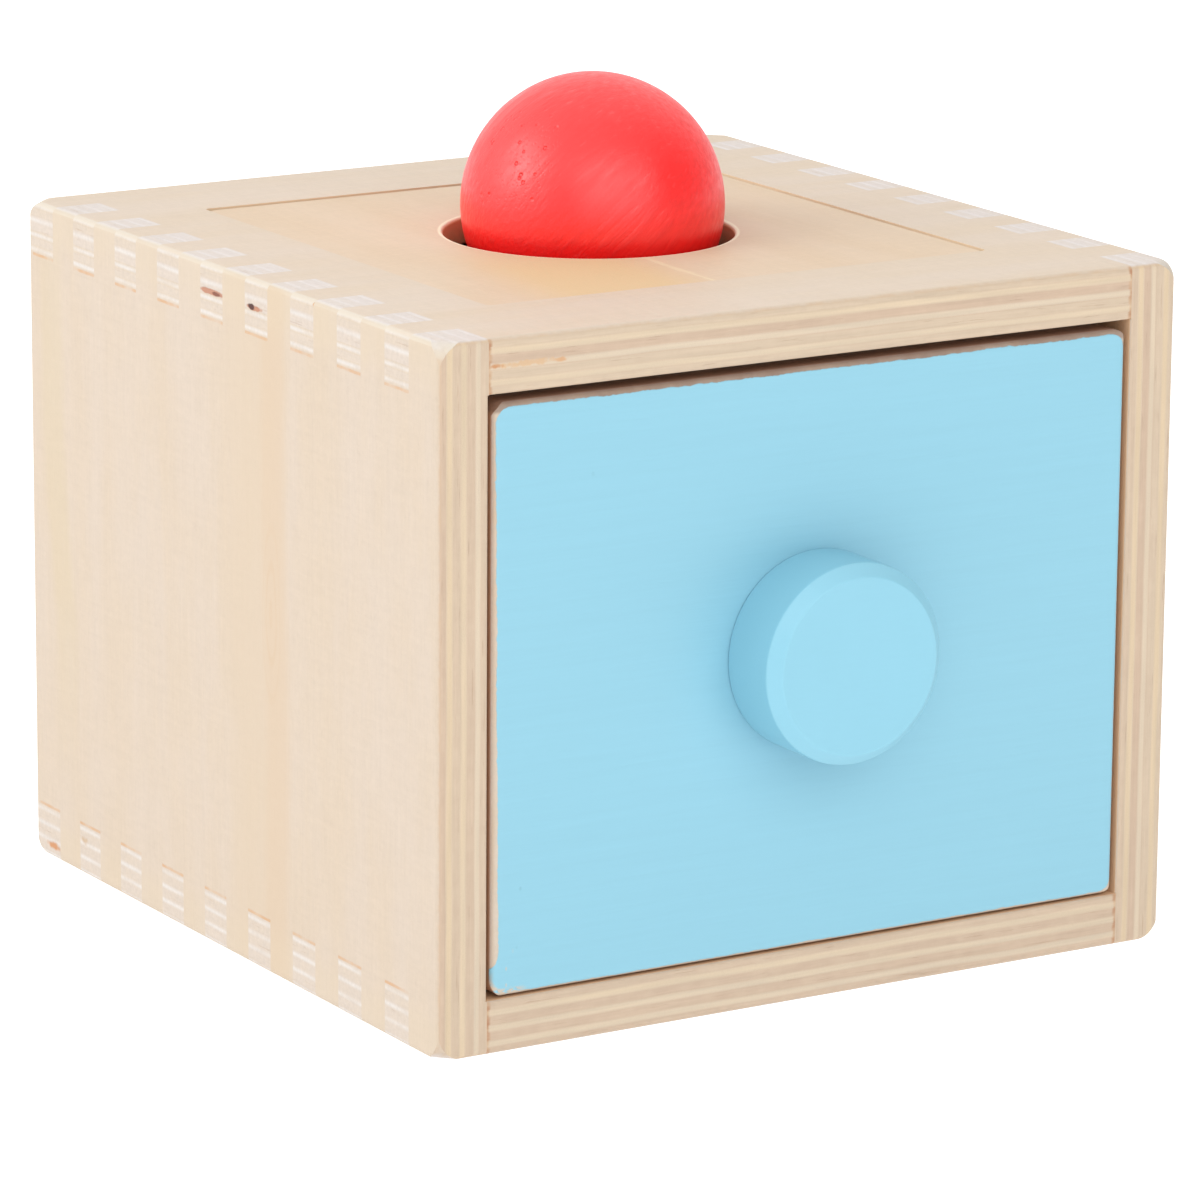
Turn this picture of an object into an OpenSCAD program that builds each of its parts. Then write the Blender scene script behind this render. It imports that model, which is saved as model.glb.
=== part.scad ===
// Ball drop box: a finger-jointed plywood case with a lift-out hole plate,
// a loose wooden ball and a drawer that catches it.
// Millimetres, +Z up. The origin is the centre of the case's base, and the
// drawer opens towards -Y.

/* [Case] */
// Outside width of the case
case_w = 141; // [125:1:170]
// Outside depth of the case, from front rim to back
case_d = 143; // [125:1:175]
// Outside height of the case
case_h = 117; // [105:1:150]
// Thickness of the case's plywood
ply_t = 9; // [7.6:0.1:12]
// Radius on the four long edges, where the sides meet the top and bottom
long_edge_r = 1.2; // [0.5:0.1:3]
// Radius on the case's front, back and upright edges
rim_edge_r = 1; // [0.2:0.1:1.2]
// Radius on the case's eight corners, sanded rounder than the edges
corner_r = 3.5; // [2:0.5:5]
// Radius on the front edges of the drawer bay
bay_edge_r = 0.5; // [0.2:0.1:1]

/* [Finger joints] */
// Width of one finger
finger_w = 7.75; // [5:0.25:12]
// Least width of the fingers at the front and back ends
end_finger_min = 6; // [4:0.5:8]

/* [Back panel] */
// Thickness of the back panel
back_t = 5; // [3:0.5:7]
// How far the back panel reaches into the case's plywood
back_rebate = 4; // [2.5:0.5:5]

/* [Hole plate] */
// Width and depth of the plate
plate_w = 96; // [80:1:100]
// Thickness of the plate
plate_t = 5; // [3:0.5:6]
// Corner radius of the plate
plate_corner_r = 2; // [1:0.5:6]
// Corner radius of the recess that holds the plate
recess_corner_r = 1; // [0.5:0.5:2]
// Gap between the plate and the recess on each side
plate_play = 0.3; // [0.2:0.1:0.8]
// How far the plate's top lies below the case's top
plate_sink = 0.3; // [0:0.1:1]
// Gap between the plate and its ledge
plate_seat_gap = 0.3; // [0.2:0.1:0.5]
// Width of the ledge that carries the plate
ledge_w = 6; // [3:0.5:10]
// Corner radius of the window inside the ledge
window_corner_r = 3; // [1:0.5:6]
// Rounding of the hole's two rims
hole_rim_r = 0.6; // [0.3:0.1:1.4]
// How far the hole's centre lies behind the plate's centre
hole_back = 0.5; // [0:0.5:3]

/* [Ball] */
// Diameter of the ball
ball_d = 45; // [36:1:54]
// Height of the ball's centre above the case's top
ball_rise = 4; // [0:0.5:5]
// Difference between the hole's diameter and the ball's
hole_play = 4.5; // [2:0.5:8]
// Gap between the ball and the hole's wall on the side where the ball leans
ball_gap = 0.3; // [0.2:0.1:0.6]
// Direction in which the ball leans, seen from above, counted from +X
ball_lean = 40; // [0:5:90]

/* [Drawer] */
// Gap between the drawer and the case on each side
drawer_side_play = 0.9; // [0.4:0.1:1.5]
// Gap above the drawer front
drawer_top_play = 1.4; // [0.8:0.1:2.5]
// Gap under the drawer front
drawer_under_play = 0.4; // [0.3:0.1:1]
// Gap under the drawer's sides and behind the closed drawer
slide_gap = 0.3; // [0.2:0.1:0.6]
// Thickness of the drawer front
front_t = 9; // [7:0.1:12]
// Corner radius of the drawer front's outline
front_corner_r = 2.5; // [1.5:0.1:5]
// Rounding along the edge of the drawer front's face
front_edge_r = 1.1; // [0.4:0.1:1.4]
// Thickness of the drawer's sides and back
drawer_wall_t = 6; // [4:0.5:9]
// Height of the drawer's sides and back above the drawer's underside
drawer_wall_h = 70; // [50:1:76]
// How deep the sides are let into the drawer front
front_rebate = 4; // [2:0.5:5]
// Thickness of the drawer's bottom
drawer_bottom_t = 3; // [2:0.5:5]
// Height of the drawer's bottom above the drawer's underside
bottom_lift = 4; // [3:0.5:8]
// Depth of the grooves that hold the drawer's bottom
groove_depth = 3; // [1.5:0.5:3.5]
// Gap around the drawer's bottom in its grooves
groove_play = 0.1; // [0.1:0.05:0.3]

/* [Knob] */
// Diameter of the knob
knob_d = 33.5; // [24:0.5:45]
// Length of the knob, from the drawer front to its face
knob_l = 13.5; // [9:0.5:20]
// Width of the bevel around the knob's face
knob_bevel = 2; // [1:0.1:4]
// Rounding of the bevel's two edges
knob_bevel_r = 0.5; // [0.2:0.1:1]
// Rounding of the knob's edge against the drawer front
knob_foot_r = 0.4; // [0.2:0.1:1]
// Height of the knob's axis above the middle of the drawer front
knob_raise = 1.5; // [-5:0.5:5]

/* [Fasteners] */
// Diameter of a brad
brad_d = 1.2; // [0.8:0.1:1.6]
// Length of a brad
brad_l = 16; // [12:1:20]
// Diameter of a brad's head
brad_head_d = 2.2; // [1.8:0.1:2.8]
// Thickness of a brad's head
brad_head_t = 0.8; // [0.5:0.1:1.2]
// Distance of the back panel's brads from the case's nearest corner
back_brad_inset = 34; // [20:1:45]
// Distance of the brads in the drawer's corners from the wall's top and the drawer's bottom
wall_brad_inset = 9; // [5:1:20]
// Distance between the brads under the drawer's back
floor_brad_gap = 32; // [15:1:42]
// Difference between a nail or screw hole's diameter and what is in it
driven_play = 0.1; // [0.05:0.05:0.3]
// Diameter of the knob screw's shank
screw_d = 4; // [3:0.5:5]
// How far the knob screw reaches into the knob
screw_grip = 8; // [5:0.5:8]
// How far the knob's screw hole runs past the screw's tip
screw_tip_gap = 0.5; // [0.2:0.1:1]
// Length of the knob screw's pointed end
screw_point = 3; // [2:0.5:4]
// Diameter of the knob screw's head
screw_head_d = 8; // [6:0.5:10]
// Height of the knob screw's head
screw_head_h = 2.6; // [2:0.2:4]
// Rounding of the knob screw's head
screw_head_r = 1; // [0.4:0.2:1.4]
// Arm length of the cross slot in the screw's head, tip to tip
cross_l = 4.4; // [3:0.2:5]
// Width of the cross slot's arms
cross_w = 0.9; // [0.6:0.1:1.2]
// Depth of the cross slot
cross_depth = 1.4; // [0.8:0.2:1.8]

/* [Hidden] */
$fn = 96;

// How far a cutting shape runs past the face it cuts
over = 1;

// Case
front_y = -case_d / 2;
back_y = case_d / 2;
bay_w = case_w - 2 * ply_t;
bay_top = case_h - ply_t;
inner_fingers = 2 * floor((case_d - 2 * end_finger_min) / (2 * finger_w));
end_finger = (case_d - inner_fingers * finger_w) / 2;
last_finger = inner_fingers + 1;
back_panel_w = bay_w + 2 * back_rebate;
back_panel_z = ply_t - back_rebate;
back_panel_h = case_h - 2 * back_panel_z;
back_inside_y = back_y - back_t;

// Hole plate
recess_w = plate_w + 2 * plate_play;
plate_top = case_h - plate_sink;
plate_bottom = plate_top - plate_t;
ledge_z = plate_bottom - plate_seat_gap;
window_w = recess_w - 2 * ledge_w;
hole_r = (ball_d + hole_play) / 2;

// Ball
ball_lean_by = hole_play / 2 - ball_gap;
ball_centre = [
    ball_lean_by * cos(ball_lean),
    hole_back + ball_lean_by * sin(ball_lean),
    case_h + ball_rise
];

// Drawer
drawer_w = bay_w - 2 * drawer_side_play;
drawer_inside_w = drawer_w - 2 * drawer_wall_t;
drawer_z = ply_t + slide_gap;
wall_top = drawer_z + drawer_wall_h;
front_z = ply_t + drawer_under_play;
front_h = bay_top - drawer_top_play - front_z;
front_back_y = front_y + front_t;
side_front_y = front_back_y - front_rebate;
drawer_back_y = back_inside_y - slide_gap;
drawer_back_front_y = drawer_back_y - drawer_wall_t;
drawer_floor_z = drawer_z + bottom_lift;
floor_top = drawer_floor_z + drawer_bottom_t;
floor_reach = groove_depth - groove_play;

// Knob and screw
knob_z = front_z + front_h / 2 + knob_raise;
screw_hole_d = screw_d + driven_play;

// Brads
brad_hole_d = brad_d + driven_play;
brad_head_hole_d = brad_head_d + driven_play;
back_brad_x = bay_w / 2 + back_rebate / 2;
back_brad_z = ply_t - back_rebate / 2;
front_brad_y = front_back_y - front_rebate / 2;
rear_brad_y = drawer_back_y - drawer_wall_t / 2;
wall_brad_low = floor_top + wall_brad_inset;
wall_brad_high = wall_top - wall_brad_inset;

// ---------- shared shapes ----------

// Flat rectangle from a corner, with all four corners rounded
module round_rect(size, r) {
    translate([r, 0]) square([size.x - 2 * r, size.y]);
    translate([0, r]) square([size.x, size.y - 2 * r]);
    for (x = [r, size.x - r], y = [r, size.y - r])
        translate([x, y]) circle(r);
}

// A bar as high as the case, laid across one diagonal of its base. Its ends are rounded
// and touch the case's upright edges there
module corner_bar(turn) {
    reach = (case_w + case_d) / (2 * sqrt(2)) - rim_edge_r * (sqrt(2) - 1);
    rotate(turn) translate([-reach, reach, 0]) rotate([90, 0, 0])
        linear_extrude(2 * reach) round_rect([2 * reach, case_h], corner_r);
}

// The case's outer shape: three rounded outlines crossed, one along each axis, and a
// bar across each diagonal, which rounds the corners
module case_shape() {
    intersection() {
        corner_bar(45);
        corner_bar(-45);
        translate([-case_w / 2, back_y, 0]) rotate([90, 0, 0])
            linear_extrude(case_d) round_rect([case_w, case_h], long_edge_r);
        translate([-case_w / 2, front_y, 0]) rotate([90, 0, 90])
            linear_extrude(case_w) round_rect([case_d, case_h], rim_edge_r);
        translate([-case_w / 2, front_y, 0])
            linear_extrude(case_h) round_rect([case_w, case_d], rim_edge_r);
    }
}

// Where finger k starts, counted from the front; finger 0 belongs to the sides
function finger_start(k) = front_y + (k == 0 ? 0 : end_finger + (k - 1) * finger_w);
function finger_end(k) = k == last_finger ? back_y : finger_start(k + 1);

// Boxes of a given width and height over every second finger
module finger_cuts(first, x, z, w, h) {
    for (k = [first : 2 : last_finger])
        translate([x, finger_start(k) - (k == 0 ? over : 0), z])
            cube([w, finger_end(k) - finger_start(k) + (k == 0 || k == last_finger ? over : 0), h]);
}

// The space that the back panel fills, open to the back
module back_rebate_cut() {
    translate([-back_panel_w / 2, back_inside_y, back_panel_z])
        cube([back_panel_w, back_t + over, back_panel_h]);
}

// A brad along +Z, its head's top at the origin and its point below
module brad() {
    translate([0, 0, -brad_head_t]) cylinder(d = brad_head_d, h = brad_head_t);
    translate([0, 0, -brad_l]) cylinder(d = brad_d, h = brad_l);
}

// The hole that a brad makes, open at its head
module brad_hole() {
    translate([0, 0, -brad_head_t]) cylinder(d = brad_head_hole_d, h = brad_head_t + over);
    translate([0, 0, -brad_l]) cylinder(d = brad_hole_d, h = brad_l);
}

// Puts its children at each of the back panel's brads, driven in from behind
module at_back_brads() {
    for (side = [-1, 1]) {
        for (z = [back_brad_inset, case_h - back_brad_inset])
            translate([side * back_brad_x, back_y, z]) rotate([-90, 0, 0]) children();
        for (z = [back_brad_z, case_h - back_brad_z])
            translate([side * (case_w / 2 - back_brad_inset), back_y, z])
                rotate([-90, 0, 0]) children();
    }
}

// Puts its children at each of the drawer's brads: through the sides into the
// front and the back, and up through the bottom into the back
module at_drawer_brads() {
    for (side = [-1, 1], y = [front_brad_y, rear_brad_y], z = [wall_brad_low, wall_brad_high])
        translate([side * drawer_w / 2, y, z]) rotate([0, side * 90, 0]) children();
    for (x = [-floor_brad_gap, 0, floor_brad_gap])
        translate([x, rear_brad_y, drawer_floor_z]) rotate([180, 0, 0]) children();
}

// A cutter that rounds an edge along +Z whose wood lies towards +X and +Y
module edge_cut(l) {
    linear_extrude(l) difference() {
        translate([-over, -over]) square(bay_edge_r + over);
        translate([bay_edge_r, bay_edge_r]) circle(bay_edge_r);
    }
}

// The slot for the drawer's bottom, as wide and deep as the grooves reach
module floor_groove() {
    translate([-drawer_inside_w / 2 - groove_depth, front_back_y - groove_depth, drawer_floor_z])
        cube([drawer_inside_w + 2 * groove_depth,
              drawer_back_y - front_back_y + groove_depth + over,
              drawer_bottom_t + groove_play]);
}

// ---------- case ----------

// The side panel on the -X side
module side_panel() {
    difference() {
        intersection() {
            case_shape();
            translate([-case_w / 2, front_y, 0]) cube([ply_t, case_d, case_h]);
        }
        finger_cuts(1, -case_w / 2 - over, -over, ply_t + 2 * over, ply_t + over);
        finger_cuts(1, -case_w / 2 - over, bay_top, ply_t + 2 * over, ply_t + over);
        back_rebate_cut();
        at_back_brads() brad_hole();
        translate([-bay_w / 2, front_y, ply_t]) rotate(90) edge_cut(bay_top - ply_t);
    }
}

// A flat panel between the sides, with its fingers. z is its underside, and
// bay_z the height of its face that looks into the drawer bay
module flat_panel(z, bay_z) {
    difference() {
        intersection() {
            case_shape();
            translate([-case_w / 2, front_y, z]) cube([case_w, case_d, ply_t]);
        }
        for (side = [0, 1])
            mirror([side, 0, 0])
                finger_cuts(0, -case_w / 2 - over, z - over, ply_t + over, ply_t + 2 * over);
        back_rebate_cut();
        at_back_brads() brad_hole();
        translate([-bay_w / 2, front_y, bay_z]) mirror([0, 0, bay_z > z ? 1 : 0])
            rotate([90, 0, 90]) edge_cut(bay_w);
    }
}

module left_side_panel() {
    color("wheat") side_panel();
}

module right_side_panel() {
    color("wheat") mirror([1, 0, 0]) side_panel();
}

module top_panel() {
    color("wheat") difference() {
        flat_panel(bay_top, bay_top);
        translate([-recess_w / 2, -recess_w / 2, ledge_z])
            linear_extrude(case_h - ledge_z + over) round_rect([recess_w, recess_w], recess_corner_r);
        translate([-window_w / 2, -window_w / 2, bay_top - over])
            linear_extrude(ply_t) round_rect([window_w, window_w], window_corner_r);
    }
}

module bottom_panel() {
    color("wheat") flat_panel(0, ply_t);
}

module back_panel() {
    color("burlywood") difference() {
        translate([-back_panel_w / 2, back_inside_y, back_panel_z])
            cube([back_panel_w, back_t, back_panel_h]);
        at_back_brads() brad_hole();
    }
}

module back_panel_brads() {
    color("silver") at_back_brads() brad();
}

// ---------- hole plate and ball ----------

// Half section of the hole: a straight wall with both rims rounded
module hole_section() {
    square([hole_r, plate_t]);
    for (up = [0, 1])
        translate([0, up * plate_t]) mirror([0, up]) difference() {
            square([hole_r + hole_rim_r, hole_rim_r]);
            translate([hole_r + hole_rim_r, hole_rim_r]) circle(hole_rim_r);
        }
}

module hole_plate() {
    color("burlywood") translate([0, 0, plate_bottom]) difference() {
        translate([-plate_w / 2, -plate_w / 2])
            linear_extrude(plate_t) round_rect([plate_w, plate_w], plate_corner_r);
        translate([0, hole_back, 0]) rotate_extrude() hole_section();
    }
}

module ball() {
    color("tomato") translate(ball_centre) sphere(d = ball_d);
}

// ---------- drawer ----------

// The drawer front's blank: its face edge is rounded, its back edge is square
module front_blank() {
    depth = front_t + 2 * front_edge_r;
    translate([-drawer_w / 2, 0, front_z]) intersection() {
        translate([0, front_back_y, 0]) rotate([90, 0, 0])
            linear_extrude(front_t) round_rect([drawer_w, front_h], front_corner_r);
        translate([0, front_y, 0]) rotate([90, 0, 90])
            linear_extrude(drawer_w) round_rect([depth, front_h], front_edge_r);
        translate([0, front_y, 0])
            linear_extrude(front_h) round_rect([drawer_w, depth], front_edge_r);
    }
}

module drawer_front() {
    color("skyblue") difference() {
        front_blank();
        for (side = [0, 1])
            mirror([side, 0, 0])
                translate([drawer_inside_w / 2, side_front_y, front_z - over])
                    cube([drawer_wall_t + over, front_rebate + over, wall_top - front_z + over]);
        floor_groove();
        at_drawer_brads() brad_hole();
        translate([0, front_y - over, knob_z]) rotate([-90, 0, 0])
            cylinder(d = screw_hole_d, h = front_t + 2 * over);
    }
}

// The drawer side on the -X side
module drawer_side() {
    difference() {
        translate([-drawer_w / 2, side_front_y, drawer_z])
            cube([drawer_wall_t, drawer_back_y - side_front_y, drawer_wall_h]);
        floor_groove();
        at_drawer_brads() brad_hole();
    }
}

module drawer_left_side() {
    color("wheat") drawer_side();
}

module drawer_right_side() {
    color("wheat") mirror([1, 0, 0]) drawer_side();
}

module drawer_back() {
    z = floor_top + groove_play;
    color("wheat") difference() {
        translate([-drawer_inside_w / 2, drawer_back_front_y, z])
            cube([drawer_inside_w, drawer_wall_t, wall_top - z]);
        at_drawer_brads() brad_hole();
    }
}

module drawer_bottom() {
    color("burlywood") difference() {
        translate([-drawer_inside_w / 2 - floor_reach, front_back_y - floor_reach, drawer_floor_z])
            cube([drawer_inside_w + 2 * floor_reach,
                  drawer_back_y - front_back_y + floor_reach, drawer_bottom_t]);
        at_drawer_brads() brad_hole();
    }
}

module drawer_brads() {
    color("silver") at_drawer_brads() brad();
}

// Half section of the knob, its foot at zero height. Its bevel lies at 45
// degrees, and each of the bevel's edges is trimmed back to where its rounding starts
module knob_section() {
    r = knob_d / 2;
    face_r = r - knob_bevel;
    bevel_z = knob_l - knob_bevel;
    trim = knob_bevel_r * tan(22.5);
    slant = trim * sin(45);
    polygon([[0, 0], [r - knob_foot_r, 0], [r, knob_foot_r],
             [r, bevel_z - trim], [r - slant, bevel_z + slant],
             [face_r + slant, knob_l - slant], [face_r - trim, knob_l], [0, knob_l]]);
    translate([r - knob_bevel_r, bevel_z - trim]) circle(knob_bevel_r);
    translate([face_r - trim, knob_l - knob_bevel_r]) circle(knob_bevel_r);
    translate([r - knob_foot_r, knob_foot_r]) circle(knob_foot_r);
}

module knob() {
    color("skyblue") translate([0, front_y, knob_z]) rotate([90, 0, 0]) difference() {
        rotate_extrude() knob_section();
        translate([0, 0, -over]) cylinder(d = screw_hole_d, h = screw_grip + screw_tip_gap + over);
    }
}

// Half section of the screw's head, its rim rounded
module screw_head_section() {
    r = screw_head_d / 2;
    square([r - screw_head_r, screw_head_h]);
    square([r, screw_head_h - screw_head_r]);
    translate([r - screw_head_r, screw_head_h - screw_head_r]) circle(screw_head_r);
}

module knob_screw() {
    shank = front_t + screw_grip - screw_point;
    color("silver") translate([0, front_back_y, knob_z]) rotate([-90, 0, 0]) {
        difference() {
            rotate_extrude() screw_head_section();
            for (turn = [0, 90])
                rotate(turn) translate([-cross_l / 2, -cross_w / 2, screw_head_h - cross_depth])
                    cube([cross_l, cross_w, cross_depth + over]);
        }
        translate([0, 0, -shank]) cylinder(d = screw_d, h = shank);
        translate([0, 0, -shank - screw_point]) cylinder(d1 = 0, d2 = screw_d, h = screw_point);
    }
}

left_side_panel();
right_side_panel();
top_panel();
bottom_panel();
back_panel();
back_panel_brads();
hole_plate();
ball();
drawer_front();
drawer_left_side();
drawer_right_side();
drawer_back();
drawer_bottom();
drawer_brads();
knob();
knob_screw();
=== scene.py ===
"""Dresses the ball drop box: a finger-jointed case, a lift-out hole plate, a turned ball and a drawer.

Every length in a finish is in millimetres and in the frame of the box: X to the right, Y to the back, Z up.
Every mesh, light and camera is in metres, as Blender has them.
"""

import logging
import math
from abc import ABC, abstractmethod
from dataclasses import dataclass
from enum import Enum
from functools import reduce

import bmesh
import bpy
from mathutils import Matrix, Vector, noise


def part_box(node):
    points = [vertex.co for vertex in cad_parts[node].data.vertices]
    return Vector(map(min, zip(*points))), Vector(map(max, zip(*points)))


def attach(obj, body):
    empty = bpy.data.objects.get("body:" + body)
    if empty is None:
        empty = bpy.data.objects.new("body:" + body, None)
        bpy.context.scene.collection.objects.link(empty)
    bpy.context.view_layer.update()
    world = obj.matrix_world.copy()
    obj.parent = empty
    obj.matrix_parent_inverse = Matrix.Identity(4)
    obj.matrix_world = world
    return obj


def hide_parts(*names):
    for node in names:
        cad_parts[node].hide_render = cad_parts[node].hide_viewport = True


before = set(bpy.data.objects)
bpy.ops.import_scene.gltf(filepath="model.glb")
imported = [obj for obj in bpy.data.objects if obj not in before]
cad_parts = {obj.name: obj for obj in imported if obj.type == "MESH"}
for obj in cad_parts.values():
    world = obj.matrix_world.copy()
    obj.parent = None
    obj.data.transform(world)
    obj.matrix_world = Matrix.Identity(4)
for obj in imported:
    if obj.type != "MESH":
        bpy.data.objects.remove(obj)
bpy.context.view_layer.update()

MM = 0.001
STUDIO_LIGHT = 1.25  # how much brighter the studio is than the light that the tints are read under
SEED_SHIFT = (3.7, 5.3, 7.1)  # how far one step of a seed moves a pattern along each axis
LOG = logging.getLogger("ball_drop_box")

Socket = bpy.types.NodeSocket
Colour = tuple[float, float, float]
Point = tuple[float, float, float]


def tint(red: float, green: float, blue: float, light: float = STUDIO_LIGHT) -> Colour:
    """Turns a colour as it looks under the studio's light into the linear colour that a shader takes.

    Args:
        red: Share of red, 0 to 255.
        green: Share of green, 0 to 255.
        blue: Share of blue, 0 to 255.
        light: How bright the light is that the colour was read under.

    Returns:
        The surface's own colour, linear, each share from 0 to 1.
    """

    def linear(share: float) -> float:
        """Gives one share of the colour as linear light."""
        part = share / 255
        return (part / 12.92 if part <= 0.04045 else ((part + 0.055) / 1.055) ** 2.4) / light

    return linear(red), linear(green), linear(blue)


class Axis(Enum):
    """A direction of the box."""

    X = 0
    Y = 1
    Z = 2


class Signal:
    """A number that changes over a surface, as the output of a shader node."""

    def __init__(self, bench: "Bench", socket: Socket) -> None:
        """Keeps the socket and the bench that it lies on."""
        self.bench = bench
        self.socket = socket

    def __add__(self, other: "float | Signal") -> "Signal":
        """Adds a number or another signal."""
        return self.bench.math("ADD", self, other)

    def __sub__(self, other: "float | Signal") -> "Signal":
        """Takes away a number or another signal."""
        return self.bench.math("SUBTRACT", self, other)

    def __rsub__(self, other: float) -> "Signal":
        """Takes this signal away from a number."""
        return self.bench.math("SUBTRACT", other, self)

    def __mul__(self, other: "float | Signal") -> "Signal":
        """Multiplies by a number or another signal."""
        return self.bench.math("MULTIPLY", self, other)

    def __abs__(self) -> "Signal":
        """Drops the sign."""
        return self.bench.math("ABSOLUTE", self)

    def apply(self, operation: str, *others: "float | Signal") -> "Signal":
        """Runs one more operation of the Math node on this signal."""
        return self.bench.math(operation, self, *others)

    def ramp(self, low: float, high: float) -> "Signal":
        """Rises smoothly from 0 at low to 1 at high, or falls where low is the larger.

        Args:
            low: Value of this signal that gives 0.
            high: Value of this signal that gives 1.

        Returns:
            The smooth step.
        """
        if low > high:
            return 1.0 - self.ramp(high, low)
        node = self.bench.put("ShaderNodeMapRange", {0: self, 1: low, 2: high})
        node.interpolation_type = "SMOOTHSTEP"
        return Signal(self.bench, node.outputs[0])


class Bench:
    """Where shader nodes are put together."""

    def __init__(self, tree: bpy.types.NodeTree) -> None:
        """Takes the node tree to work in."""
        self.tree = tree
        coordinates = self.put("ShaderNodeTexCoord", {})
        self.place = coordinates.outputs["Object"]
        self.facing = coordinates.outputs["Normal"]
        self.way = coordinates.outputs["Generated"]

    def put(self, kind: str, inputs: dict, **settings: object) -> bpy.types.Node:
        """Adds a node.

        Args:
            kind: Blender's name for the node.
            inputs: What each input gets: a number, a colour, a socket or a signal.
            settings: Properties of the node.

        Returns:
            The new node.
        """
        node = self.tree.nodes.new(kind)
        for key, value in settings.items():
            setattr(node, key, value)
        for key, value in inputs.items():
            self.feed(node.inputs[key], value)
        return node

    def feed(self, socket: Socket, value: object) -> None:
        """Links a signal or a socket to an input, or sets a plain value on it."""
        if isinstance(value, Signal):
            value = value.socket
        if isinstance(value, bpy.types.NodeSocket):
            self.tree.links.new(value, socket)
        elif socket.type == "RGBA":
            socket.default_value = (*value, 1.0)
        else:
            socket.default_value = value

    def math(self, operation: str, *values: "float | Signal") -> Signal:
        """Adds a Math node with these values."""
        node = self.put("ShaderNodeMath", dict(enumerate(values)), operation=operation)
        return Signal(self, node.outputs[0])

    def parts(self, vector: Socket, scale: float = 1.0) -> tuple[Signal, Signal, Signal]:
        """Splits a vector.

        Args:
            vector: The vector to split.
            scale: What each part is multiplied by.

        Returns:
            Its X, Y and Z parts.
        """
        grown = self.put("ShaderNodeVectorMath", {0: vector, 3: scale}, operation="SCALE")
        split = self.put("ShaderNodeSeparateXYZ", {0: grown.outputs[0]})
        x, y, z = (Signal(self, output) for output in split.outputs)
        return x, y, z

    def stretched(self, per_mm: Point, seed: float) -> Socket:
        """Gives the place on the piece with each axis stretched, for a pattern.

        Args:
            per_mm: How much of the pattern passes in a millimetre along X, Y and Z.
            seed: Moves the pattern, so that two pieces don't show the same one.

        Returns:
            The stretched place.
        """
        scale = tuple(share / MM for share in per_mm)
        shift = tuple(seed * step for step in SEED_SHIFT)
        inputs = {0: self.place, 1: scale, 2: shift}
        return self.put("ShaderNodeVectorMath", inputs, operation="MULTIPLY_ADD").outputs[0]

    def noise_at(
        self, vector: Socket, detail: float = 2.0, roughness: float = 0.5, twist: float = 0.0
    ) -> Signal:
        """Adds soft noise that is read at a vector.

        Args:
            vector: Where the noise is read.
            detail: How many finer layers it has.
            roughness: How strong the finer layers are.
            twist: How much it is distorted.

        Returns:
            The noise, about 0.5 on average.
        """
        inputs = {"Vector": vector, "Scale": 1.0, "Detail": detail, "Roughness": roughness}
        inputs["Distortion"] = twist
        return Signal(self, self.put("ShaderNodeTexNoise", inputs).outputs[0])

    def noise(self, per_mm: Point, seed: float, *finer: float) -> Signal:
        """Adds soft noise over the piece, with noise_at()'s own values after the seed."""
        return self.noise_at(self.stretched(per_mm, seed), *finer)

    def cells(self, per_mm: Point, seed: float) -> tuple[Signal, Signal]:
        """Adds a field of scattered points over the piece.

        Args:
            per_mm: How many points there are in a millimetre along X, Y and Z.
            seed: Moves the field, as in stretched().

        Returns:
            The distance to the nearest point, and a number of that point's own from 0 to 1.
        """
        vector = self.stretched(per_mm, seed)
        node = self.put("ShaderNodeTexVoronoi", {"Vector": vector, "Scale": 1.0})
        own = self.put("ShaderNodeSeparateXYZ", {0: node.outputs["Color"]})
        return Signal(self, node.outputs["Distance"]), Signal(self, own.outputs[0])

    def blend(self, share: "float | Signal", first: "Colour | Socket", second: "Colour | Socket") -> Socket:
        """Mixes two colours.

        Args:
            share: How much of the second colour shows, 0 to 1.
            first: Colour at 0.
            second: Colour at 1.

        Returns:
            The mixed colour.
        """
        node = self.put("ShaderNodeMix", {0: share, 6: first, 7: second}, data_type="RGBA")
        return node.outputs[2]

    def pick(self, share: "float | Signal", first: "float | Signal", second: "float | Signal") -> Signal:
        """Mixes two numbers as blend() mixes colours."""
        node = self.put("ShaderNodeMix", {0: share, 2: first, 3: second}, data_type="FLOAT")
        return Signal(self, node.outputs[0])

    def toward(self, vector: Socket, way: Vector) -> Signal:
        """Says how far a vector reaches along a way."""
        node = self.put("ShaderNodeVectorMath", {0: vector, 1: tuple(way)}, operation="DOT_PRODUCT")
        return Signal(self, node.outputs[1])

    def lit(self, colour: "Colour | Socket", by: Signal) -> Socket:
        """Makes a colour lighter or darker by a signal around 1."""
        node = self.put("ShaderNodeVectorMath", {0: colour, 3: by}, operation="SCALE")
        return node.outputs[0]


class MaterialBench(Bench):
    """Where the shader nodes of one material are put together."""

    def __init__(self, name: str) -> None:
        """Starts an empty material of that name."""
        self.material = bpy.data.materials.new(name)
        self.material.use_nodes = True
        super().__init__(self.material.node_tree)
        self.shader = self.tree.nodes["Principled BSDF"]

    def finish(
        self, colour: Socket, roughness: "float | Signal", height: "float | Signal", specular: float
    ) -> bpy.types.Material:
        """Connects the shader.

        Args:
            colour: The surface's colour.
            roughness: The surface's roughness.
            height: The surface's relief in millimetres.
            specular: How much the surface reflects, 0.5 for most paints.

        Returns:
            The finished material.
        """
        relief = self.put("ShaderNodeBump", {"Strength": 1.0, "Distance": MM, "Height": height})
        self.feed(self.shader.inputs["Base Color"], colour)
        self.feed(self.shader.inputs["Roughness"], roughness)
        self.feed(self.shader.inputs["Normal"], relief.outputs[0])
        self.feed(self.shader.inputs["Specular IOR Level"], specular)
        return self.material


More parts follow.
